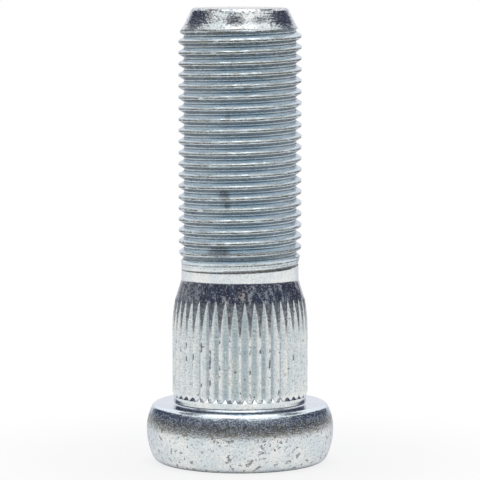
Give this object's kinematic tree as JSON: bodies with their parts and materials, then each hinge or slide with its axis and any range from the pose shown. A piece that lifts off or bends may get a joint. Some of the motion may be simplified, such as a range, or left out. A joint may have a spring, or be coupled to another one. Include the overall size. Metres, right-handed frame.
{
  "type": "wheel stud",
  "caption": "Press-in wheel stud: round barrel-sided head, plain neck, straight serrations, shoulder cone, plain band, long fine-threaded shank and chamfered tip. Zinc-plated steel, one piece.",
  "frame": {"origin": "centre of the head's flat outer face, which the stud stands on", "axes": "+Z along the shank from the head to the threaded tip; +X to the right and -Y towards the viewer of the reference view"},
  "size_m": [0.024, 0.0238, 0.058],
  "materials": {
    "zinc_plated_steel": "bright zinc plate, fine-grained and speckled"
  },
  "bodies": {
    "root": {"wheel_stud": "zinc_plated_steel"}
  },
  "joints": []
}
